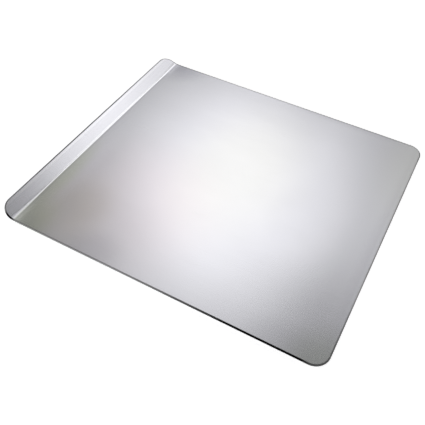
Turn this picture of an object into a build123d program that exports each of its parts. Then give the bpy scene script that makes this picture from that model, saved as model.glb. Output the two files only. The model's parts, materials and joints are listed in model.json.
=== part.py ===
from build123d import *
import os
from math import cos, radians, sin, tan

# Air-insulated cookie sheet.  Two thin aluminium sheets lie one over the other
# with an air space between them.  The top sheet is the baking surface: flat,
# with rounded corners, and with one edge turned up as a lip to hold it by.  Its
# rim is folded under all round, and the fold grips the flange of the bottom
# sheet.  The bottom sheet is drawn down inside its flange into a shallow pan,
# and round spacers pressed up in the pan floor carry the top sheet.
#
# Frame: +X points away from the lip, +Y runs along the lip, +Z is up.  The
# origin is at the centre of the outline, on the plane that the sheet rests on.

# Driving dimensions, in millimetres and degrees.
overall_length = 394.0  # lip tip to far rim, seen from above
overall_width = 356.0  # along the lip
corner_radius = 17.0  # all four corners, in the plane of the metal
lip_width = 19.2  # fold line to lip tip, along the lip
lip_angle = 30.0  # lip above the baking surface
bend_radius = 4.5  # inside the fold, on the baking surface
top_gauge = 0.9
bottom_gauge = 0.7
air_gap = 4.75  # pan floor to the underside of the top sheet

# Hem: the rim of the top sheet wrapped round the flange of the bottom sheet.
hem_return = 6.0  # rim to the raw edge of the fold
seam_clearance = 0.05  # between the two sheets where they are pressed together
fold_gap = 0.4  # flange's cut edge to the inside of the fold
round_share = 0.48  # of a hem's thickness, so that its edge is nearly a half round

# Pan: the drawn part of the bottom sheet.
flange_land = 4.0  # flat flange that shows between the hem, or the fold, and the pan
pan_corner_radius = 16.0
wall_slope = 45.0  # pan wall from the vertical
draw_radius = 2.0  # inside every bend of the pan wall

# Spacers: blunt cones pressed up in the pan floor.
spacer_columns = 4
spacer_rows = 4
spacer_tip_radius = 3.5
spacer_slope = 50.0  # side from the vertical

same_level = 0.01  # edges this close to a level lie on it
cut_overrun = 2.0  # how far a cut passes the face that it leaves by
edge_land = 0.1  # least straight edge left between the fold and a lip corner

# Levels, from the resting plane up.
web_low = bottom_gauge + air_gap  # underside of the top sheet
sheet_top = web_low + top_gauge  # the baking surface
slot_height = bottom_gauge + 2 * seam_clearance
hem_thickness = 2 * top_gauge + slot_height
flange_depth = top_gauge + seam_clearance  # flange's top face, under the baking surface
flange_top = sheet_top - flange_depth
flange_low = flange_top - bottom_gauge

# The fold line and the two directions of the lip.
half_length = overall_length / 2
half_width = overall_width / 2
lip_out = Vector(-cos(radians(lip_angle)), sin(radians(lip_angle)))
lip_up = Vector(sin(radians(lip_angle)), cos(radians(lip_angle)))
lip_normal = Axis((0, 0, 0), (lip_up.X, 0, lip_up.Y))
hem_radius = hem_thickness / 2
tip_overhang = hem_radius * (1 + sin(radians(lip_angle)) - cos(radians(lip_angle)))
fold_x = lip_width * cos(radians(lip_angle)) + tip_overhang - half_length
bend_length = bend_radius * tan(radians(lip_angle) / 2)  # fold line to where the bend ends
bend_x = fold_x + bend_length
lip_corner_radius = min(corner_radius, lip_width - bend_length - edge_land)


def side_line(depth, inset):
    """The plate seen from the side, depth below the baking surface: far rim, fold, lip tip."""
    shift = depth * tan(radians(lip_angle) / 2)
    tip = Vector(fold_x, sheet_top) + lip_out * (lip_width - inset) - lip_up * depth
    points = (half_length - inset, sheet_top - depth), (fold_x - shift, sheet_top - depth), tip
    return FilletPolyline(*points, radius=bend_radius + depth)


def folded_layer(depth, thickness, inset, rim_radius=0.0):
    """A layer of the plate with the lip turned up, inset from the rim all round.

    Every bend is about one axis, so layers at different depths nest."""
    with BuildPart() as layer:
        with BuildSketch(Plane.XZ):
            with BuildLine():
                upper = side_line(depth, inset)
                lower = side_line(depth + thickness, inset)
                Line(upper @ 0, lower @ 0)
                Line(upper @ 1, lower @ 1)
            make_face()
        extrude(amount=half_width - inset, both=True)
        fillet(layer.edges().filter_by(Axis.Z), radius=corner_radius - inset)
        fillet(layer.edges().filter_by(lip_normal), radius=lip_corner_radius - inset)
        if rim_radius:
            through = layer.edges().filter_by(Axis.Z) + layer.edges().filter_by(lip_normal)
            bend_lines = layer.edges().filter_by(Axis.Y).group_by(SortBy.LENGTH)[-1]
            fillet(layer.edges() - through - bend_lines, radius=rim_radius)
    return layer.part


# Top sheet: a plate as thick as the hem, hollowed from below so that the web,
# the half-round fold and the returned flange of metal are left.
hem_body = folded_layer(0, hem_thickness, 0, round_share * hem_thickness)
flange_slot = folded_layer(top_gauge, slot_height, top_gauge)
hem_window = folded_layer(top_gauge, hem_thickness - top_gauge + cut_overrun, hem_return)
with BuildPart() as top_sheet:
    add(hem_body)
    add(flange_slot, mode=Mode.SUBTRACT)
    add(hem_window, mode=Mode.SUBTRACT)

# Plan of the pan where its outer wall meets the underside of the flange.
pan_low_x = bend_x + flange_land
pan_high_x = half_length - hem_return - flange_land
pan_length = pan_high_x - pan_low_x
pan_width = overall_width - 2 * (hem_return + flange_land)
pan_centre = ((pan_low_x + pan_high_x) / 2, 0)
# The inner wall starts higher, on the flange's top face, and stays one gauge away.
wall_step = bottom_gauge * (1 / cos(radians(wall_slope)) - tan(radians(wall_slope)))
pan_margin = flange_land / 2  # looks this far outside the pan for its edges
wall_run = flange_low * tan(radians(wall_slope))

# Spacers, as the radius of each cone at its foot: outside on the floor's top
# face, and inside, one gauge of metal away, on the floor's underside.
spacer_foot_radius = spacer_tip_radius + (flange_top - bottom_gauge) * tan(radians(spacer_slope))
spacer_wall_width = bottom_gauge / cos(radians(spacer_slope))  # measured along the floor
spacer_mouth_radius = spacer_tip_radius + flange_top * tan(radians(spacer_slope)) - spacer_wall_width
spacer_pitch_x = (pan_length - 2 * wall_run) / spacer_columns
spacer_pitch_y = (pan_width - 2 * wall_run) / spacer_rows

# Bottom sheet: the flange that follows the lip, the pan drawn down inside it,
# and the spacers pressed up in the pan floor.
flange = folded_layer(flange_depth, bottom_gauge, top_gauge + fold_gap)
with BuildPart() as bottom_sheet:
    add(flange)
    with BuildSketch(Plane.XY.offset(flange_low)):
        with Locations(pan_centre):
            RectangleRounded(pan_length, pan_width, pan_corner_radius)
    extrude(amount=-flange_low, taper=wall_slope)
    with BuildSketch(Plane.XY.offset(flange_top)):
        with Locations(pan_centre):
            inner_radius = pan_corner_radius - wall_step
            RectangleRounded(pan_length - 2 * wall_step, pan_width - 2 * wall_step, inner_radius)
    extrude(amount=bottom_gauge - flange_top, taper=wall_slope, mode=Mode.SUBTRACT)
    for level, radius in (
        (0, draw_radius + bottom_gauge),
        (bottom_gauge, draw_radius),
        (flange_low, draw_radius),
        (flange_top, draw_radius + bottom_gauge),
    ):
        bend = bottom_sheet.edges().filter_by_position(Axis.Z, level - same_level, level + same_level)
        bend = bend.filter_by_position(Axis.X, pan_low_x - pan_margin, pan_high_x + pan_margin)
        bend = bend.filter_by_position(Axis.Y, -pan_width / 2 - pan_margin, pan_width / 2 + pan_margin)
        fillet(bend, radius=radius)
    for level, radius, top, mode in (
        (bottom_gauge, spacer_foot_radius, flange_top, Mode.ADD),
        (0, spacer_mouth_radius, flange_low, Mode.SUBTRACT),
    ):
        with BuildSketch(Plane.XY.offset(level)):
            with Locations(pan_centre):
                with GridLocations(spacer_pitch_x, spacer_pitch_y, spacer_columns, spacer_rows):
                    Circle(radius)
        extrude(amount=top - level, taper=spacer_slope, mode=mode)

top_sheet.part.label = "top_sheet"
bottom_sheet.part.label = "bottom_sheet"

os.makedirs("parts", exist_ok=True)
for piece in (top_sheet, bottom_sheet):
    export_step(piece.part, f"parts/{piece.part.label}.step")
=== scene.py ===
import json
import math

import bpy
import numpy as np
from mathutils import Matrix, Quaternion, Vector


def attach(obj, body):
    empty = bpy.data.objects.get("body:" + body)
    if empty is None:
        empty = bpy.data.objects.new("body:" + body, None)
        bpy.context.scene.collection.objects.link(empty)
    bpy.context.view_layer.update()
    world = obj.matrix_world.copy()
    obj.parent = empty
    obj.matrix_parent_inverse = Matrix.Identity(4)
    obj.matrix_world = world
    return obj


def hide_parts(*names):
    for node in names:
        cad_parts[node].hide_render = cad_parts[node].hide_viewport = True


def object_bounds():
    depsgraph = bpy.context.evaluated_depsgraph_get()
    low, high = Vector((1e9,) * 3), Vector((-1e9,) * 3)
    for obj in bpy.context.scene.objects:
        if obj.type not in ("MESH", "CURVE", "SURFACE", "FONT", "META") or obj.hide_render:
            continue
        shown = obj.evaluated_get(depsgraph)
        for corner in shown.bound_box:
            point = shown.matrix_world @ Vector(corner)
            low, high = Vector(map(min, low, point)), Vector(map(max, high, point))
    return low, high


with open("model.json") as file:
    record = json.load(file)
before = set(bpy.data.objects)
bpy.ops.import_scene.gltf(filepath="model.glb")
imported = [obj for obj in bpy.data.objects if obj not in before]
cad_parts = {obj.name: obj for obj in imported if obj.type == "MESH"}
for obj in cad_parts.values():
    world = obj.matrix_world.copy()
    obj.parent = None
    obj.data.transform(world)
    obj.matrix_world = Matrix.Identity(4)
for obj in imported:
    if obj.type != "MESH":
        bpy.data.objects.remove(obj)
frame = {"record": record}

cadLow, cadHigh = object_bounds()
mm = 0.001
mounts = {mount["name"]: mount["pos_m"] for mount in frame["record"]["mounts"]}

# An insulated cookie sheet.  The top sheet, with a lip along one edge, is hemmed round
# the bottom sheet, whose pan and spacers leave a layer of air between them.  Shapes
# are worked out in millimetres, and putMesh turns them into metres.
outlineSize = {
    "farRim": cadHigh.x / mm,
    "halfWidth": cadHigh.y / mm,
    "surface": mounts["baking_surface"][2] / mm,
    "foldLine": -179.15,  # x where the flat sheet and the lip would meet
    "foldRadius": 4.5,
    "foldSoftening": 20.0,  # more radius at the two ends, where the hem is folded too
    "softeningPower": 7,
    "lipAngle": math.radians(29.4),
    "lipWidth": 19.55,
    "cornerRadius": 17.0,
}
lipTip = -outlineSize["lipWidth"]
farTip = outlineSize["farRim"] - outlineSize["foldLine"]
# From the fold line to the end of the bend, and of the finely divided strip round it.
foldHalf = outlineSize["foldRadius"] * math.tan(outlineSize["lipAngle"] / 2)
foldBand = 2 * foldHalf
joinDigits = 3  # points that agree to this many decimals are one
print("frame", len(mounts), "mounts")


# A point of the folded metal.  s is measured over the baking surface from the
# fold line, away from the lip; within a tangent's length of that line the sheet
# turns evenly about one axis, and depth is square to the surface, so that layers
# nest.  The fold is a little softer towards its two hemmed ends.
def foldedPoint(s, y, depth):
    o = outlineSize
    radius = o["foldRadius"] + o["foldSoftening"] * (abs(y) / o["halfWidth"]) ** o["softeningPower"]
    reach = radius * math.tan(o["lipAngle"] / 2)
    turn = o["lipAngle"] * np.clip((reach - s) / (2 * reach), 0, 1)
    pastFold, upLip = np.maximum(s - reach, 0), np.maximum(-s - reach, 0)
    bend = radius + depth
    x = o["foldLine"] + reach + pastFold - bend * np.sin(turn) - upLip * math.cos(o["lipAngle"])
    z = o["surface"] + radius - bend * np.cos(turn) + upLip * math.sin(o["lipAngle"])
    return np.stack(np.broadcast_arrays(x, y, z), axis=-1)


# Half-width of the outline at s, moved in by inset, and the share of its outward
# direction along s: straight sides, and a quarter circle at each corner.
def outlineAt(s, inset):
    radius = outlineSize["cornerRadius"] - inset
    lipCorner = np.clip(1 - (s - lipTip - inset) / radius, 0, 1)
    farCorner = np.clip(1 - (farTip - inset - s) / radius, 0, 1)
    along = farCorner - lipCorner
    half = outlineSize["halfWidth"] - inset - radius * (1 - np.sqrt(1 - along**2))
    return half, along


# Four corner indices for each cell of an index grid, in the grid's own turn.
def gridFaces(index):
    corners = index[:-1, :-1], index[1:, :-1], index[1:, 1:], index[:-1, 1:]
    return np.stack(corners, axis=-1).reshape(-1, 4)


# A piece of the object from its points in millimetres, its faces as lists of point
# numbers, and the values that its material reads at each point.
def putMesh(name, points, faces, values):
    mesh = bpy.data.meshes.new(name)
    mesh.from_pydata(points * mm, [], [face for grid in faces for face in grid.tolist()])
    for label, numbers in values.items():
        kind, field = ("FLOAT_VECTOR", "vector") if numbers.ndim == 2 else ("FLOAT", "value")
        store = mesh.attributes.new(label, kind, "POINT")
        store.data.foreach_set(field, numbers.astype(np.float32).ravel())
    mesh.shade_smooth()
    mesh.validate()
    piece = bpy.data.objects.new(name, mesh)
    bpy.context.scene.collection.objects.link(piece)
    print(name, len(mesh.vertices), "points", len(mesh.polygons), "faces")
    return piece


topSheet = {
    "gauge": 0.9,
    "hemThickness": 2.6,
    "hemReturn": 6.0,  # rim to the raw edge underneath
    "slotDepth": 1.7,  # baking surface to the top of the returned metal
    "rimRadius": 1.248,
    "rawRadius": 0.2,
    "support": 0.6,  # flat strip that keeps the rim's shading off the plate
    "cornerSteps": 20,
    "foldSteps": 24,
    "acrossSteps": 48,
    "alongSteps": 44,
    "rimSteps": 9,  # in each quarter of the rim
    "rawSteps": 3,
    "slotSteps": 6,
}


# An arc in the hem's section, as columns of inset and depth about a centre, from
# one angle to another; angle 0 points out of the rim and 90 up.
def sectionArc(inset, depth, radius, first, last, steps):
    angle = np.radians(np.linspace(first, last, steps + 1))
    return np.stack([inset - radius * np.cos(angle), depth - radius * np.sin(angle)], axis=1)


# The hem's section, carried round the outline from the plate's upper face, over
# the rim, under it to the raw edge, and back inside the fold to the lower face.
def hemSection():
    t = topSheet
    rim, raw, fold = t["rimRadius"], t["rawRadius"], (t["slotDepth"] - t["gauge"]) / 2
    rawInset, low = t["hemReturn"] - raw, t["hemThickness"]
    return np.concatenate([
        sectionArc(rim, rim, rim, 90, 0, t["rimSteps"]),
        sectionArc(rim, low - rim, rim, 0, -90, t["rimSteps"]),
        [[rim + t["support"], low], [rawInset - t["support"], low]],
        sectionArc(rawInset, low - raw, raw, -90, -180, t["rawSteps"]),
        sectionArc(rawInset, t["slotDepth"] + raw, raw, -180, -270, t["rawSteps"]),
        [[rawInset - t["support"], t["slotDepth"]]],
        sectionArc(t["gauge"] + fold, t["gauge"] + fold, fold, -90, 90, t["slotSteps"]),
    ])


# The plate is a grid of lines at even and closer steps of s, each shared out evenly
# over the half-width there.  The hem's section goes outwards from the grid's border
# along the outline's own direction, and the lower face is the grid one gauge down.
def buildTopSheet():
    t = topSheet
    inset = t["rimRadius"] + t["support"]
    radius = outlineSize["cornerRadius"] - inset
    corner = radius * (1 - np.cos(np.linspace(0, math.pi / 2, t["cornerSteps"] + 1)))
    lines = np.unique(np.concatenate([
        lipTip + inset + corner,
        np.linspace(-foldBand, foldBand, t["foldSteps"] + 1),
        np.linspace(foldBand, farTip - inset - radius, t["alongSteps"] + 1)[1:],
        farTip - inset - corner,
    ]).round(joinDigits))
    share = np.linspace(-1, 1, t["acrossSteps"] + 1)
    half, along = outlineAt(lines, inset)
    s, y = np.broadcast_arrays(lines[:, None], half[:, None] * share)

    # The grid's border, once round: up one side, along the far rim and back.
    order = np.arange(s.size).reshape(s.shape)
    border = np.concatenate([order[:-1, 0], order[-1, :-1], order[:0:-1, -1], order[0, :0:-1]])
    outS = np.broadcast_to(along[:, None], s.shape).ravel()[border]
    outY = np.sign(y.ravel()[border]) * np.sqrt(1 - outS**2)
    section = hemSection()
    step = inset - section[:, :1]
    ringS = s.ravel()[border] + outS * step
    ringY = y.ravel()[border] + outY * step
    ringDepth = np.broadcast_to(section[:, 1:], ringS.shape)

    flat = np.concatenate([
        np.stack([s.ravel(), y.ravel(), np.zeros(s.size)], axis=1),
        np.stack([ringS.ravel(), ringY.ravel(), ringDepth.ravel()], axis=1),
        np.stack([s.ravel(), y.ravel(), np.full(s.size, t["gauge"])], axis=1),
    ])
    rings = s.size + np.arange(ringS.size).reshape(ringS.shape)
    underside = s.size + ringS.size + order
    loops = np.concatenate([border[None], rings, underside.ravel()[border][None]])
    loops = np.concatenate([loops, loops[:, :1]], axis=1)
    faces = [gridFaces(order), gridFaces(loops), gridFaces(underside)[:, ::-1]]

    rim = np.zeros(len(flat))  # 1 within the rim's radius of the outline
    rim[rings.ravel()] = np.broadcast_to(section[:, :1] <= t["rimRadius"], ringS.shape).ravel()
    return putMesh("topSheet", foldedPoint(*flat.T), faces, {"sheetPlace": flat * mm, "rim": rim})


bottomSheet = {
    "gauge": 0.7,
    "rimInset": 1.3,  # outline to the flange's cut edge
    "flangeDepth": 0.95,  # baking surface to the flange's upper face
    "panSpan": (20.808, 350.15),  # centres of the pan's corners along the sheet
    "panHalf": 152.0,  # and across it
    "panCorner": 16.0,
    "wallSlope": math.radians(45),
    "wallBend": 2.0,
    "columns": 4,
    "rows": 4,
    "spacerTip": 3.245,  # lower face, where the cone would meet its flat tip
    "spacerMouth": 8.846,  # lower face, where the cone would meet the pan floor
    "spacerSlope": math.radians(40),
    "spacerBend": 1.3,
    "support": 0.4,
    "sideSteps": 13,  # along one side of the floor round a spacer
    "floorSteps": 4,  # from a spacer's foot to that side
    "cornerSteps": 5,
    "wallSteps": 5,  # in each bend of the wall
    "spacerSteps": 4,
    "flangeSteps": 16,
    "foldSteps": 10,
    "tiny": 1e-6,  # a step that counts as none
}
panRise = outlineSize["surface"] - bottomSheet["flangeDepth"] - bottomSheet["gauge"]


# Sections of the bottom sheet's lower face.  Columns are the distance from a
# centre, the height, and the two shares of the direction square to the metal:
# away from the centre, and up.  bendSection is an arc between two slopes.
def bendSection(middle, height, radius, turn, side):
    return np.stack([middle + side * radius * np.sin(turn), height + side * radius * np.cos(turn),
                     np.sin(turn), np.cos(turn)], axis=1)


# Outwards over the pan wall: the floor, a bend up, the wall, a bend out.
def wallSection():
    b = bottomSheet
    outer = b["wallBend"] + b["gauge"]
    lean = math.tan(b["wallSlope"] / 2)
    turn = np.linspace(0, -b["wallSlope"], b["wallSteps"] + 1)
    foot = b["panCorner"] - panRise * math.tan(b["wallSlope"]) - outer * lean
    head = b["panCorner"] + b["wallBend"] * lean
    return np.concatenate([
        [[foot - b["support"], 0, 0, 1]],
        bendSection(foot, outer, outer, turn, -1),
        bendSection(head, panRise - b["wallBend"], b["wallBend"], turn[::-1], 1),
        [[head + b["support"], panRise, 0, 1]],
    ])


# Outwards over a spacer: the flat tip, a bend down, the cone, a bend out.
def spacerSection():
    b = bottomSheet
    outer = b["spacerBend"] + b["gauge"]
    lean = math.tan(b["spacerSlope"] / 2)
    turn = np.linspace(0, b["spacerSlope"], b["spacerSteps"] + 1)
    tip = b["spacerTip"] - b["spacerBend"] * lean
    foot = b["spacerMouth"] + outer * lean
    return np.concatenate([
        [[tip / 2, panRise, 0, 1], [tip - b["support"], panRise, 0, 1]],
        bendSection(tip, panRise - b["spacerBend"], b["spacerBend"], turn, 1),
        bendSection(foot, outer, outer, turn[::-1], -1),
        [[foot + b["support"], 0, 0, 1]],
    ])


# A section turned about centres, in the directions given by their shares along s
# and y: its points, and the directions square to the metal at them.
def turnedSection(section, centreS, centreY, outS, outY):
    reach, height, out, up = (section[:, k:k + 1] for k in range(4))
    points = np.stack(np.broadcast_arrays(centreS + reach * outS, centreY + reach * outY, height), axis=-1)
    square = np.stack(np.broadcast_arrays(out * outS, out * outY, up), axis=-1)
    return points, square


# Where the floor is divided along one direction, a list for each cell: even
# steps, and closer ones beside the pan's rounded corners.
def floorPlaces(low, high, corner, borders):
    b = bottomSheet
    ends = [low + corner, *borders, high - corner]
    cells = [np.linspace(first, last, b["sideSteps"] + 1) for first, last in zip(ends, ends[1:])]
    cells[0] = np.concatenate([np.linspace(low, low + corner, b["cornerSteps"] + 1)[:-1], cells[0]])
    cells[-1] = np.concatenate([cells[-1], np.linspace(high - corner, high, b["cornerSteps"] + 1)[1:]])
    return cells


# Once round a rectangle divided at the given places, from its lowest corner.
def cellBorder(acrossS, acrossY):
    ones = np.ones(len(acrossY) - 1)
    s = np.concatenate([acrossS[:-1], ones * acrossS[-1], acrossS[:0:-1], ones * acrossS[0]])
    ones = np.ones(len(acrossS) - 1)
    y = np.concatenate([ones * acrossY[0], acrossY[:-1], ones * acrossY[-1], acrossY[:0:-1]])
    return s, y


# For points on the border of a square-cornered floor: the nearest centre of the
# pan's corners, and the direction from it once the corner is a quarter circle.
def roundCorners(s, y, corner):
    centreS = np.clip(s, *bottomSheet["panSpan"])
    centreY = np.clip(y, -bottomSheet["panHalf"], bottomSheet["panHalf"])
    stepS, stepY = (s - centreS) / corner, (y - centreY) / corner
    turn = math.pi / 4 * np.where(abs(stepY) > abs(stepS), abs(stepS), 2 - abs(stepY))
    return centreS, centreY, np.sign(stepS) * np.sin(turn), np.sign(stepY) * np.cos(turn)


# Lines of points from the pan to the rim, straight in the flat metal and evenly
# spaced, or with a point on each line of the fold where they end well past it.
def flangeLines(start, end):
    b = bottomSheet
    folds = np.linspace(foldHalf, -foldBand, b["foldSteps"])
    crossing = (start[0] - folds[:, None]) / np.maximum(start[0] - end[0], b["tiny"])
    beyond = np.linspace(0, 1, b["flangeSteps"] - len(folds) + 1)[1:, None]
    folded = np.concatenate([crossing, crossing[-1] + (1 - crossing[-1]) * beyond])
    even = np.linspace(0, 1, b["flangeSteps"] + 1)[1:, None]
    wellPast = end[0] < -2 * foldBand
    share = np.concatenate([np.zeros((1, len(start[0]))), np.where(wellPast, folded, even)])[..., None]
    start, end = (np.stack([*place, np.full(len(place[0]), panRise)], axis=-1) for place in (start, end))
    return start + (end - start) * share


# The lower face is worked out part by part: for each spacer its section turned all
# round and drawn out to the sides of its own cell of the floor, then the wall's
# section carried round the floor, then straight lines out to the flange's rim.
def buildBottomSheet():
    b = bottomSheet
    wall, spacer = wallSection(), spacerSection()
    corner = wall[0, 0]
    sharp = b["panCorner"] - panRise * math.tan(b["wallSlope"])
    firstS, firstY = b["panSpan"][0] - sharp, -b["panHalf"] - sharp
    pitchS = (b["panSpan"][1] + sharp - firstS) / b["columns"]
    pitchY = -2 * firstY / b["rows"]
    side = b["panHalf"] + corner
    stepsS = floorPlaces(b["panSpan"][0] - corner, b["panSpan"][1] + corner, corner,
                         firstS + pitchS * np.arange(1, b["columns"]))
    stepsY = floorPlaces(-side, side, corner, firstY + pitchY * np.arange(1, b["rows"]))
    parts = []  # points (s, y, height), directions square to the metal, and faces

    # Rows of points, each row closed on itself and joined to the next.
    def addRings(points, square):
        index = np.arange(points[..., 0].size).reshape(points.shape[:2])
        faces = gridFaces(np.concatenate([index, index[:, :1]], axis=1))
        parts.append((points.reshape(-1, 3), square.reshape(-1, 3), faces))

    for i, acrossS in enumerate(stepsS):
        for j, acrossY in enumerate(stepsY):
            s, y = cellBorder(acrossS, acrossY)
            centreS, centreY, outS, outY = roundCorners(s, y, corner)
            inCorner = (abs(s - centreS) > b["tiny"]) & (abs(y - centreY) > b["tiny"])
            s = np.where(inCorner, centreS + corner * outS, s)
            y = np.where(inCorner, centreY + corner * outY, y)
            middleS, middleY = firstS + pitchS * (i + 0.5), firstY + pitchY * (j + 0.5)
            away = np.arctan2(y - middleY, s - middleS)
            cone, coneSquare = turnedSection(spacer, middleS, middleY, np.cos(away), np.sin(away))
            share = np.linspace(0, 1, b["floorSteps"] + 1)[1:, None, None]
            level = cone[-1] * (1 - share) + np.stack([s, y, 0 * s], axis=-1) * share
            levelSquare = np.broadcast_to(coneSquare[-1], level.shape)
            addRings(np.concatenate([cone, level]), np.concatenate([coneSquare, levelSquare]))
            around = np.arange(1, len(s) + 1)
            fan = np.stack([0 * around, around, np.roll(around, -1)], axis=1)
            tip = np.concatenate([[[middleS, middleY, panRise]], cone[0]])
            parts.append((tip, np.concatenate([coneSquare[0][:1], coneSquare[0]]), fan))

    s, y = cellBorder(np.unique(np.concatenate(stepsS)), np.unique(np.concatenate(stepsY)))
    centreS, centreY, outS, outY = roundCorners(s, y, corner)
    wallPoints, wallSquare = turnedSection(wall, centreS, centreY, outS, outY)
    addRings(wallPoints, wallSquare)
    radius = outlineSize["cornerRadius"] - b["rimInset"]
    ends = lipTip + outlineSize["cornerRadius"], farTip - outlineSize["cornerRadius"]
    rimS = np.interp(centreS, b["panSpan"], ends) + radius * outS
    rimY = centreY * (outlineSize["halfWidth"] - outlineSize["cornerRadius"]) / b["panHalf"] + radius * outY
    flange = flangeLines(wallPoints[-1, :, :2].T, (rimS, rimY))
    addRings(flange, np.broadcast_to(wallSquare[-1], flange.shape))

    # The parts join where their points meet, the upper face lies one gauge above
    # them, and a strip round the rim closes the two.
    starts = np.cumsum([0] + [len(points) for points, _, _ in parts])
    points, square = (np.concatenate([part[k] for part in parts]) for k in (0, 1))
    _, first, joined = np.unique(points.round(joinDigits), axis=0, return_index=True, return_inverse=True)
    joined = joined.reshape(-1)
    numbered = [joined[faces + start] for (_, _, faces), start in zip(parts, starts)]
    quads, fans = (np.concatenate([faces for faces in numbered if faces.shape[1] == corners])
                   for corners in (4, 3))
    count = len(first)
    rim = joined[starts[-1] - len(s):]
    strip = gridFaces(np.stack([np.append(rim, rim[0]), np.append(rim, rim[0]) + count]))
    points, square = points[first], square[first]
    flat = np.concatenate([points, points + b["gauge"] * square])
    flat[:, 2] = outlineSize["surface"] - flat[:, 2]
    faces = [quads[:, ::-1], quads + count, strip[:, ::-1], fans[:, ::-1], fans + count]
    return putMesh("bottomSheet", foldedPoint(*flat.T), faces, {"sheetPlace": flat * mm})


nodeGrid = {"columns": 8, "width": 220, "height": 320}

# What both metals share.  A pair of ranges takes a value from the first to the second.
metal = {
    "noiseStart": (3.7, 1.3),
    "noiseRoughness": 0.55,
    "hazeDulls": ((0.35, 0.7), (0, 0.7)),
    "grainDulls": ((0.3, 0.75), (0, 0.3)),
    "markRange": (0.3, 0.7),
    "hairlineDepth": 0.8,  # of the grain's height
    "reliefDepth": 0.00004,
    "patchEdge": ((0, 0.8), (0, 1)),
    "plateStart": ((0, 0.002), (0, 1)),  # along the sheet, where the painted light patches begin
    "rimShadeByHaze": ((0.3, 0.62), (0.8, 1)),  # how much of the rim's painted shade the haze lets through
    "rimEdge": ((0, 0.6), (0, 1)),
    "paintedDarkSpecular": 0.02,  # the gloss of the near-black painted shade on the rim, with no part in bare metal
}


# A node with its inputs set.  Nodes stand in rows, in the order that they are made.
def addNode(tree, kind, inputs=None, **settings):
    row, column = divmod(len(tree.nodes), nodeGrid["columns"])
    made = tree.nodes.new(kind)
    made.location = nodeGrid["width"] * column, -nodeGrid["height"] * row
    for key, value in settings.items():
        setattr(made, key, value)
    for key, value in (inputs or {}).items():
        made.inputs[key].default_value = value
    return made


# value moved in a straight line from one range to another, with both ends held.
def addRange(tree, value, source, target, **settings):
    made = addNode(tree, "ShaderNodeMapRange", {
        "From Min": source[0], "From Max": source[1], "To Min": target[0], "To Max": target[1]}, **settings)
    tree.links.new(value, made.inputs["Value"])
    return made.outputs["Result"]


# One sum, product or other operation on two values, each a number or a socket.
def addMath(tree, operation, first, second):
    made = addNode(tree, "ShaderNodeMath", operation=operation)
    for socket, value in zip(made.inputs, (first, second)):
        if isinstance(value, (int, float)):
            socket.default_value = value
        else:
            tree.links.new(value, socket)
    return made.outputs["Value"]


# colour mixed towards another, or multiplied by it, by the share that amount gives.
def addBlend(tree, amount, colour, other, **settings):
    made = addNode(tree, "ShaderNodeMix", {"B": (*other, 1)}, data_type="RGBA", **settings)
    tree.links.new(amount, made.inputs["Factor"])
    if isinstance(colour, tuple):
        made.inputs["A"].default_value = (*colour, 1)
    else:
        tree.links.new(colour, made.inputs["A"])
    return made.outputs["Result"]


# Noise drawn out along the sheet: grain has its size along the sheet and across
# it, in metres, and lies turned by an angle from the sheet's length.
def addGrain(tree, place, grain):
    mapping = addNode(tree, "ShaderNodeMapping", {
        "Rotation": (0, 0, grain.get("turn", 0)),
        "Scale": (1 / grain["length"], 1 / grain["width"], 1 / grain["width"]),
        "Location": (grain.get("seed", 0), *metal["noiseStart"]),
    })
    noise = addNode(tree, "ShaderNodeTexNoise", {
        "Scale": 1.0, "Detail": grain.get("detail", 2), "Roughness": metal["noiseRoughness"]})
    tree.links.new(place, mapping.inputs["Vector"])
    tree.links.new(mapping.outputs["Vector"], noise.inputs["Vector"])
    return noise.outputs["Fac"]


# Hairlines are the ridges of noise drawn out fine: each is cut near its top and
# spread from 0 to 1, and where they cross the larger one holds.
def addHairlines(tree, place, hairlines):
    deepest = 0.0
    for hairline in hairlines:
        line = addRange(tree, addGrain(tree, place, hairline), hairline["cut"], (0, 1))
        deepest = addMath(tree, "MAXIMUM", line, deepest)
    return deepest


# A soft oval patch: 1 in the middle and 0 from its outline on, by the distance from
# its centre as a share of its size.
def addPatch(tree, place, patch):
    mapping = addNode(tree, "ShaderNodeMapping", {
        "Location": (*patch["centre"], 0),
        "Rotation": (0, 0, patch.get("turn", 0)),
        "Scale": (*patch["size"], 1),
    }, vector_type="TEXTURE")
    ball = addNode(tree, "ShaderNodeTexGradient", gradient_type="SPHERICAL")
    tree.links.new(place, mapping.inputs["Vector"])
    tree.links.new(mapping.outputs["Vector"], ball.inputs["Vector"])
    return addRange(tree, ball.outputs["Fac"], *metal["patchEdge"], interpolation_type="SMOOTHSTEP")


# A stripe across the sheet: 1 within the first reach of its middle line, and fading
# to 0 at the second.
def addStripe(tree, along, stripe):
    offset = addMath(tree, "ABSOLUTE", addMath(tree, "SUBTRACT", along, stripe["middle"]), 0)
    return addRange(tree, offset, stripe["reach"], (1, 0), interpolation_type="SMOOTHSTEP")


# Near-black painted shade on the rim, standing in for its dark reflection: the product of a range along the
# sheet, one across it and one at the far corner, or any patch where that is larger, and none off the rim.
def addPaintedDark(tree, place, along, across, rim, look):
    paintedDark = addMath(tree, "MULTIPLY", addRange(tree, along, *look["paintedDarkAlong"]),
                    addRange(tree, across, *look["paintedDarkAcross"]))
    paintedDark = addMath(tree, "MULTIPLY", paintedDark, addRange(tree, along, *look["paintedDarkEnd"]))
    for patch in look["paintedDarkPatches"]:
        share = addMath(tree, "MULTIPLY", addPatch(tree, place, patch), patch["share"])
        paintedDark = addMath(tree, "MAXIMUM", paintedDark, share)
    return addMath(tree, "MULTIPLY", addRange(tree, rim, *metal["rimEdge"]), paintedDark)
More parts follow.
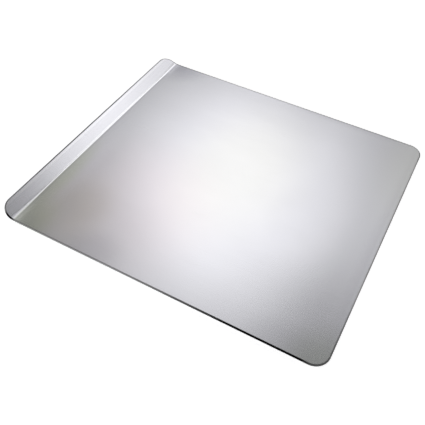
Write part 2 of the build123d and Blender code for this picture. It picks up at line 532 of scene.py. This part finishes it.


# Painted light on the top sheet, and the fold's polish, each as a share from 0 to 1 that blends the colour:
# patches of painted shade, painted highlight and painted reflection colour on the plate, a painted shade
# line beside the fold and a painted highlight along the lip's edge, the fold polished and whitened as a
# painted highlight, the rim darkened as painted shade and made rougher, and near-black painted shade on the
# rim.
def addPaintedLightAndPolish(tree, place, haze, colour, rough, look):
    axes = addNode(tree, "ShaderNodeSeparateXYZ")
    tree.links.new(place, axes.inputs["Vector"])
    along, across = axes.outputs["X"], axes.outputs["Y"]

    onPlate = addRange(tree, along, *metal["plateStart"])
    # Painted shade, painted highlight and painted reflection colour, in patches on the plate.
    for patch in look["paintedLightPatches"]:
        amount = addMath(tree, "MULTIPLY", addPatch(tree, place, patch), onPlate)
        colour = addBlend(tree, amount, colour, patch["tint"], blend_type="MULTIPLY")
    # A painted shade line beside the fold and a painted highlight along the lip's edge.
    for stripe in look["paintedLines"]:
        amount = addStripe(tree, along, stripe)
        colour = addBlend(tree, amount, colour, stripe["tint"], blend_type="MULTIPLY")

    # The fold: roughness lowered by polish, and colour whitened towards the fold's colour as a painted
    # highlight.
    foldPolishAndHighlight = addStripe(tree, along, look["fold"])
    for end in look["fold"]["ends"]:
        foldPolishAndHighlight = addMath(tree, "MULTIPLY", foldPolishAndHighlight, addRange(tree, across, *end))
    colour = addBlend(tree, foldPolishAndHighlight, colour, look["fold"]["colour"])
    rough = addMath(tree, "SUBTRACT", rough, addMath(tree, "MULTIPLY", foldPolishAndHighlight, look["fold"]["polish"]))

    # The rim is darkened towards its grey as painted shade, by a share that the haze varies a little, and
    # made rougher.
    rim = addNode(tree, "ShaderNodeAttribute", attribute_name="rim").outputs["Fac"]
    rimShade = addMath(tree, "MULTIPLY", rim, addRange(tree, haze, *metal["rimShadeByHaze"]))
    colour = addBlend(tree, rimShade, colour, look["rimShadeColour"])
    rough = addMath(tree, "ADD", rough, addMath(tree, "MULTIPLY", rimShade, look["rimRough"]))
    # Near-black, non-metallic painted shade on the rim, where its reflection is dark.
    paintedDark = addPaintedDark(tree, place, along, across, rim, look)
    colour = addBlend(tree, paintedDark, colour, look["paintedDarkColour"])
    return colour, rough, addRange(tree, paintedDark, (0, 1), (1, 0))


# Bare aluminium.  Rolling leaves grain, storage leaves haze, and use leaves fine
# hairlines.  Haze and grain take a little off the colour and swing the roughness
# either way, hairlines add to it, and the relief is the grain and the tooth less the
# hairlines.
def aluminium(name, look):
    material = bpy.data.materials.new(name)
    material.use_nodes = True
    tree = material.node_tree
    shader = tree.nodes["Principled BSDF"]
    shader.inputs["Metallic"].default_value = 1.0
    shader.inputs["Specular IOR Level"].default_value = metal["paintedDarkSpecular"]
    place = addNode(tree, "ShaderNodeAttribute", attribute_name="sheetPlace").outputs["Vector"]
    grain, haze, tooth = (addGrain(tree, place, look[mark]) for mark in ("grain", "haze", "tooth"))
    hairlines = addHairlines(tree, place, look["hairlines"])

    dull = addMath(tree, "ADD", addRange(tree, haze, *metal["hazeDulls"]),
                   addRange(tree, grain, *metal["grainDulls"]))
    colour = addBlend(tree, dull, look["colour"], look["dullColour"])

    spread = look["roughSpread"]
    hazy, grainy = (addRange(tree, mark, metal["markRange"], (-spread[kind], spread[kind]))
                    for mark, kind in ((haze, "haze"), (grain, "grain")))
    rough = addMath(tree, "ADD", hazy, grainy)
    rough = addMath(tree, "ADD", rough, addMath(tree, "MULTIPLY", hairlines, spread["hairline"]))
    rough = addMath(tree, "ADD", rough, look["roughness"])

    relief = addMath(tree, "ADD", grain, addMath(tree, "MULTIPLY", tooth, look["toothShare"]))
    relief = addMath(tree, "SUBTRACT", relief, addMath(tree, "MULTIPLY", hairlines, metal["hairlineDepth"]))
    bump = addNode(tree, "ShaderNodeBump", {"Strength": look["relief"], "Distance": metal["reliefDepth"]})
    tree.links.new(relief, bump.inputs["Height"])
    tree.links.new(bump.outputs["Normal"], shader.inputs["Normal"])

    if "paintedLightPatches" in look:
        colour, rough, metallic = addPaintedLightAndPolish(tree, place, haze, colour, rough, look)
        tree.links.new(metallic, shader.inputs["Metallic"])
    tree.links.new(colour, shader.inputs["Base Color"])
    tree.links.new(rough, shader.inputs["Roughness"])
    print(name, len(tree.nodes), "nodes")
    return material


satinLook = {
    "colour": (0.808, 0.806, 0.851),
    "dullColour": (0.791, 0.789, 0.834),
    "roughness": 0.245,
    "roughSpread": {"haze": 0.004, "grain": 0.006, "hairline": 0.03},
    "relief": 0.012,
    "toothShare": 0.1,
    "grain": {"length": 0.05, "width": 0.0014},
    "haze": {"length": 0.11, "width": 0.07, "detail": 3, "seed": 2},
    "tooth": {"length": 0.0014, "width": 0.0014, "seed": 5},
    "hairlines": [
        {"length": 0.12, "width": 0.0011, "turn": 0.35, "cut": (0.70, 0.76), "seed": 9},
        {"length": 0.09, "width": 0.0013, "turn": -0.9, "cut": (0.71, 0.78), "seed": 14},
    ],
    # Patches of painted shade, painted highlight and painted reflection colour, at places in metres along
    # the sheet from the fold and across it.
    "paintedLightPatches": [
        {"centre": (0.1, -0.085), "size": (0.13, 0.15), "turn": 0.5, "tint": (1.05, 1.0, 1.0)},
        {"centre": (0.045, -0.135), "size": (0.065, 0.08), "tint": (1.02, 1.0, 0.935)},
        {"centre": (0.185, 0.025), "size": (0.11, 0.17), "tint": (1.0, 1.0, 0.945)},
        {"centre": (0.018, -0.17), "size": (0.035, 0.055), "tint": (0.965, 1.0, 0.88)},
        {"centre": (0.004, -0.09), "size": (0.022, 0.09), "tint": (0.965, 1.0, 0.88)},
        {"centre": (0.39, 0.15), "size": (0.08, 0.17), "tint": (0.995, 1.0, 0.945)},
        {"centre": (0.376, -0.178), "size": (0.06, 0.06), "tint": (0.84, 0.86, 0.8)},
        {"centre": (0.008, 0.178), "size": (0.055, 0.05), "tint": (0.82, 0.82, 0.84)},
        {"centre": (0.004, 0.178), "size": (0.02, 0.025), "tint": (0.82, 0.82, 0.82)},
        {"centre": (0.01, -0.075), "size": (0.03, 0.14), "tint": (1.07, 1.07, 1.07)},
        {"centre": (0.101, -0.17), "size": (0.05, 0.04), "tint": (0.9, 0.9, 0.9)},
        {"centre": (0.057, -0.12), "size": (0.045, 0.05), "tint": (0.92, 0.92, 0.92)},
        {"centre": (0.19, 0.1785), "size": (0.5, 0.0055), "tint": (0.81, 0.81, 0.81)},
        {"centre": (0.27, 0.179), "size": (0.13, 0.014), "tint": (0.92, 0.92, 0.92)},
        {"centre": (0.3765, 0.0), "size": (0.02, 0.26), "tint": (0.9, 0.9, 0.9)},
        {"centre": (0.28, -0.005), "size": (0.05, 0.08), "tint": (0.95, 0.95, 0.95)},
        {"centre": (0.325, -0.17), "size": (0.05, 0.035), "tint": (0.93, 0.93, 0.93)},
    ],
    # The fold: its roughness lowered by polish, and its colour whitened as a painted highlight, less
    # towards its ends.
    "fold": {"middle": -0.0002, "reach": (0.0007, 0.0017), "colour": (0.95, 0.95, 0.975), "polish": 0.09,
             "ends": [((0.08, 0.16), (1, 0.4)), ((-0.16, -0.12), (0.4, 1))]},
    # A painted shade line beside the fold, and a painted highlight along the lip's pressed edge.
    "paintedLines": [
        {"middle": 0.0032, "reach": (0.0004, 0.0018), "tint": (0.91, 0.91, 0.91)},
        {"middle": -0.0162, "reach": (0.0008, 0.0022), "tint": (1.09, 1.09, 1.08)},
    ],
    # The rim darkened towards this grey is painted shade.
    "rimShadeColour": (0.29, 0.29, 0.29),
    "rimRough": 0.1,
    "paintedDarkColour": (0.004, 0.004, 0.004),
    # Near-black painted shade on the rim: along the front towards the right corner, and in patches at the
    # lip's edge and the front-left, back-left and back-right corners.
    "paintedDarkAlong": ((0.16, 0.27), (0, 1)),
    "paintedDarkAcross": ((-0.172, -0.09), (1, 0)),
    "paintedDarkEnd": ((0.352, 0.362), (1, 0.65)),
    "paintedDarkPatches": [
        {"centre": (-0.005, -0.178), "size": (0.01, 0.01), "share": 1.0},
        {"centre": (-0.0195, -0.03), "size": (0.012, 0.2), "share": 0.55},
        {"centre": (0.012, 0.178), "size": (0.06, 0.012), "share": 0.6},
        {"centre": (0.365, 0.178), "size": (0.2, 0.03), "share": 0.4},
    ],
}
millLook = {
    "colour": (0.75, 0.75, 0.77),
    "dullColour": (0.60, 0.60, 0.62),
    "roughness": 0.36,
    "roughSpread": {"haze": 0.05, "grain": 0.05, "hairline": 0.12},
    "relief": 0.25,
    "toothShare": 0.6,
    "grain": {"length": 0.04, "width": 0.0009},
    "haze": {"length": 0.06, "width": 0.045, "detail": 4, "seed": 21},
    "tooth": {"length": 0.0008, "width": 0.0008, "seed": 25},
    "hairlines": [
        {"length": 0.07, "width": 0.0013, "turn": 0.2, "cut": (0.66, 0.74), "seed": 31},
        {"length": 0.05, "width": 0.0014, "turn": 1.2, "cut": (0.67, 0.75), "seed": 37},
        {"length": 0.06, "width": 0.0012, "turn": -0.6, "cut": (0.68, 0.76), "seed": 41},
    ],
}


# Soft boxes round the table.  Azimuth 0 is +Y and 90 is +X, seen from the sheet;
# radiance is what a mirror there would show, with 1 as white.
boxes = {
    "backBoxCore": {"azimuth": -24, "elevation": 44, "distance": 3, "radius": 0.7, "radiance": 0.37},
    "backBoxSmall": {"azimuth": -24, "elevation": 44, "distance": 2.8, "radius": 0.373, "radiance": 0.18},
    "backBoxRight": {"azimuth": -18, "elevation": 48, "distance": 3.1, "radius": 0.72, "radiance": 0.21},
    "backBoxLeft": {"azimuth": -35, "elevation": 50, "distance": 3.2, "radius": 0.96, "radiance": 0.3},
    "backBoxTurned": {"azimuth": -30, "elevation": 42, "distance": 2.9, "radius": 0.68, "radiance": 0.14},
    "leftBoxHigh": {"azimuth": -42, "elevation": 54, "distance": 3, "radius": 0.5, "radiance": 0.12},
    "leftBoxLow": {"azimuth": -38, "elevation": 38, "distance": 3.1, "radius": 0.62, "radiance": 0.05},
    "highBox": {"azimuth": -30, "elevation": 62, "distance": 3, "radius": 0.6, "radiance": 0.28},
    "backBoxLow": {"azimuth": -16, "elevation": 34, "distance": 3, "radius": 0.5, "radiance": 0.14},
    "middleBox": {"azimuth": 0, "elevation": 38, "distance": 3, "radius": 0.5, "radiance": 0.36},
    "sideBoxWide": {"azimuth": 26, "elevation": 45, "distance": 3.1, "radius": 0.83, "radiance": 0.67},
    "sideBoxLow": {"azimuth": 24, "elevation": 36, "distance": 2.9, "radius": 0.58, "radiance": 0.17},
    "sideBoxHigh": {"azimuth": 32, "elevation": 60, "distance": 3, "radius": 0.6, "radiance": 0.11},
    "foldBox": {"azimuth": 17, "elevation": 53, "distance": 3, "radius": 0.4, "radiance": 0.4},
    "frontBox": {"azimuth": -138, "elevation": 36, "distance": 3, "radius": 1.75, "radiance": 0.6},
    "keyBox": {"azimuth": 125, "elevation": 45, "distance": 3, "radius": 1.7, "radiance": 0.75},
    "foldStrip": {"azimuth": 12.5, "elevation": 50, "distance": 1.1, "radius": 0.12, "radiance": 0.4,
                  "aim": (-0.179, 0, 0.01)},
    "foldGrid": {"azimuth": 3, "elevation": 61, "distance": 1.1, "radius": 0.15, "radiance": 0.75,
                 "aim": (-0.179, -0.082, 0.01), "grid": 12},
}
lampAim = (0.01, 0, 0.006)


# A round lamp, at a distance from its aim along its two angles and turned towards it.
# Its power is the radiance times (pi times the radius) squared.
def addLight(name, box):
    aim = Vector(box.get("aim", lampAim))
    azimuth, elevation = math.radians(box["azimuth"]), math.radians(box["elevation"])
    level = math.cos(elevation)
    away = Vector((math.sin(azimuth) * level, math.cos(azimuth) * level, math.sin(elevation)))
    data = bpy.data.lights.new(name, "AREA")
    data.shape = "DISK"
    data.size = 2 * box["radius"]
    data.energy = box["radiance"] * (math.pi * box["radius"]) ** 2
    if "grid" in box:
        # A grid over the box narrows its light, and the lamp would make up for it.
        half = math.radians(box["grid"]) / 2
        data.spread = 2 * half
        data.energy *= 1 - half / math.tan(half)
    lamp = bpy.data.objects.new(name, data)
    lamp.location = aim + away * box["distance"]
    lamp.rotation_mode = "QUATERNION"
    lamp.rotation_quaternion = away.to_track_quat("Z", "Y")
    lamp.visible_camera = False
    bpy.context.scene.collection.objects.link(lamp)


# Places, sensor and lens are in millimetres.
cameraLook = {
    "eye": (209.4, -444.0, 498.1),
    "aim": (18.72, -51.95, 6.4),
    "roll": math.radians(3.006),
    "sensor": 36,
    "lens": 48.21,
    "shift": -0.0176,  # of the frame's width
    "clip": (0.01, 100),  # metres
}


# The camera looks from eye to aim, and is then rolled about that line.
def addCamera():
    c = cameraLook
    eye, aim = Vector(c["eye"]) * mm, Vector(c["aim"]) * mm
    data = bpy.data.cameras.new("camera")
    data.sensor_width = c["sensor"]
    data.lens = c["lens"]
    data.shift_x = c["shift"]
    data.clip_start, data.clip_end = c["clip"]
    camera = bpy.data.objects.new("camera", data)
    camera.rotation_mode = "QUATERNION"
    camera.location = eye
    level = (aim - eye).to_track_quat("-Z", "Y")
    camera.rotation_quaternion = level @ Quaternion((0, 0, 1), c["roll"])
    bpy.context.scene.collection.objects.link(camera)
    bpy.context.scene.camera = camera


floorLook = {
    "halfSize": 25,  # metres
    "level": -0.0001,  # just under the sheet, so that the two never share a plane
    "colour": (0.97, 0.97, 0.97, 1),
    "lift": ((0.4, 2.5), (0.55, 1)),  # distance from the sheet, and the white added there
}


# One square of white table.  Where the camera or a mirror sees it, white is added by
# its distance from the sheet, since the lamps reach only the middle of it.
def addFloor():
    mesh = bpy.data.meshes.new("floor")
    corners = np.array([[-1, -1], [1, -1], [1, 1], [-1, 1]]) * floorLook["halfSize"]
    mesh.from_pydata(np.column_stack([corners, np.full(4, floorLook["level"])]), [], [(0, 1, 2, 3)])
    floor = bpy.data.objects.new("floor", mesh)
    bpy.context.scene.collection.objects.link(floor)
    material = bpy.data.materials.new("whiteTable")
    material.use_nodes = True
    tree = material.node_tree
    shader = tree.nodes["Principled BSDF"]
    shader.inputs["Base Color"].default_value = floorLook["colour"]
    shader.inputs["Roughness"].default_value = 1.0
    shader.inputs["Specular IOR Level"].default_value = 0.0
    shader.inputs["Emission Color"].default_value = (1, 1, 1, 1)
    path = addNode(tree, "ShaderNodeLightPath")
    seen = addMath(tree, "MAXIMUM", path.outputs["Is Camera Ray"], path.outputs["Is Glossy Ray"])
    seen = addMath(tree, "MAXIMUM", seen, path.outputs["Is Transmission Ray"])
    distance = addNode(tree, "ShaderNodeVectorMath", operation="LENGTH")
    tree.links.new(addNode(tree, "ShaderNodeTexCoord").outputs["Object"], distance.inputs[0])
    lift = addMath(tree, "MULTIPLY", seen, addRange(tree, distance.outputs["Value"], *floorLook["lift"]))
    tree.links.new(lift, shader.inputs["Emission Strength"])
    mesh.materials.append(material)


# Sines of the elevation, and the light that comes from there.
worldLook = {
    "horizon": ((0.02, 0.47), (1, 0.12)),
    "overhead": ((0.93, 0.99), (0, 0.4)),
}


# A grey studio that whitens towards the horizon, where the table runs into it, and a
# little overhead.  The camera sees it as a white backdrop.
def addWorld():
    world = bpy.data.worlds.new("studio")
    world.use_nodes = True
    tree = world.node_tree
    split = addNode(tree, "ShaderNodeSeparateXYZ")
    tree.links.new(addNode(tree, "ShaderNodeTexCoord").outputs["Generated"], split.inputs["Vector"])
    horizon = addRange(tree, split.outputs["Z"], *worldLook["horizon"])
    overhead = addRange(tree, split.outputs["Z"], *worldLook["overhead"], interpolation_type="SMOOTHSTEP")
    path = addNode(tree, "ShaderNodeLightPath")
    strength = addMath(tree, "ADD", horizon, overhead)
    strength = addMath(tree, "MAXIMUM", strength, path.outputs["Is Camera Ray"])
    tree.links.new(strength, tree.nodes["Background"].inputs["Strength"])
    tree.nodes["Background"].inputs["Color"].default_value = (1, 1, 1, 1)
    bpy.context.scene.world = world


topPiece = buildTopSheet()
topPiece.data.materials.append(aluminium("satinAluminium", satinLook))
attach(topPiece, "root")
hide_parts("top_sheet")

bottomPiece = buildBottomSheet()
bottomPiece.data.materials.append(aluminium("millAluminium", millLook))
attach(bottomPiece, "root")
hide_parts("bottom_sheet")

addFloor()
addWorld()
for name, box in boxes.items():
    addLight(name, box)
print("studio", len(boxes), "lamps")

addCamera()
bpy.context.scene.view_settings.view_transform = "Standard"
